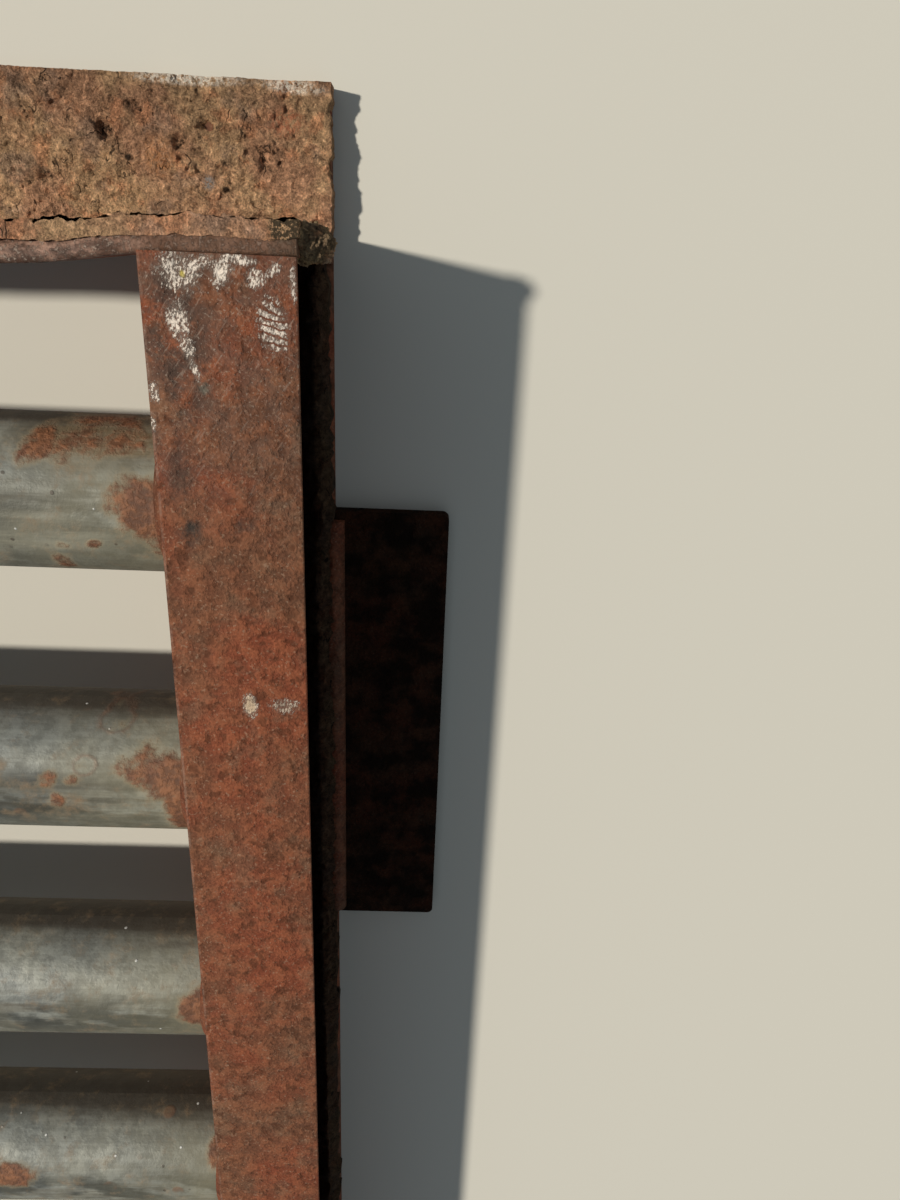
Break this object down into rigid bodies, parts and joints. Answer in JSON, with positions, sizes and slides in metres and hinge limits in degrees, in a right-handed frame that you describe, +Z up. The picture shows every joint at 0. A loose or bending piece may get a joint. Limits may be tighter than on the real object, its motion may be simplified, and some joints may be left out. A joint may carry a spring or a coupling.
{
  "type": "cattle grid",
  "caption": "Welded steel cattle grid: round tubes side by side in a frame of channels and angles, with flat lugs at its ends.",
  "frame": {"origin": "on the ground, at the middle of the grid's footprint", "axes": "+Z up, X along the tubes, Y across the tubes, the way of travel"},
  "size_m": [2.538, 1.3842, 0.1],
  "materials": {
    "galvanised_tube": "weathered zinc with dirt and rust patches",
    "rusted_channel": "rusted rolled steel, matt",
    "rusted_angle": "rusted rolled steel with dry soil on its foot",
    "rusted_bearer": "rusted flat bar, matt",
    "dark_lug": "dark rust and dirt, matt",
    "rusted_weld": "rusted weld metal, rippled"
  },
  "bodies": {
    "root": {"bearer_left": "rusted_bearer", "bearer_right": "rusted_bearer", "bearer_welds_left": "rusted_weld", "bearer_welds_right": "rusted_weld", "corner_welds_left": "rusted_weld", "corner_welds_right": "rusted_weld", "edge_angle_back": "rusted_angle", "edge_angle_front": "rusted_angle", "end_channel_left": "rusted_channel", "end_channel_right": "rusted_channel", "lug_back_left": "dark_lug", "lug_back_right": "dark_lug", "lug_front_left": "dark_lug", "lug_front_right": "dark_lug", "lug_welds_left": "rusted_weld", "lug_welds_right": "rusted_weld", "saddle_welds_left": "rusted_weld", "saddle_welds_right": "rusted_weld", "tube_01": "galvanised_tube", "tube_02": "galvanised_tube", "tube_03": "galvanised_tube", "tube_04": "galvanised_tube", "tube_05": "galvanised_tube", "tube_06": "galvanised_tube", "tube_07": "galvanised_tube", "tube_08": "galvanised_tube", "tube_09": "galvanised_tube", "tube_10": "galvanised_tube", "tube_welds_left": "rusted_weld", "tube_welds_right": "rusted_weld"}
  },
  "joints": []
}
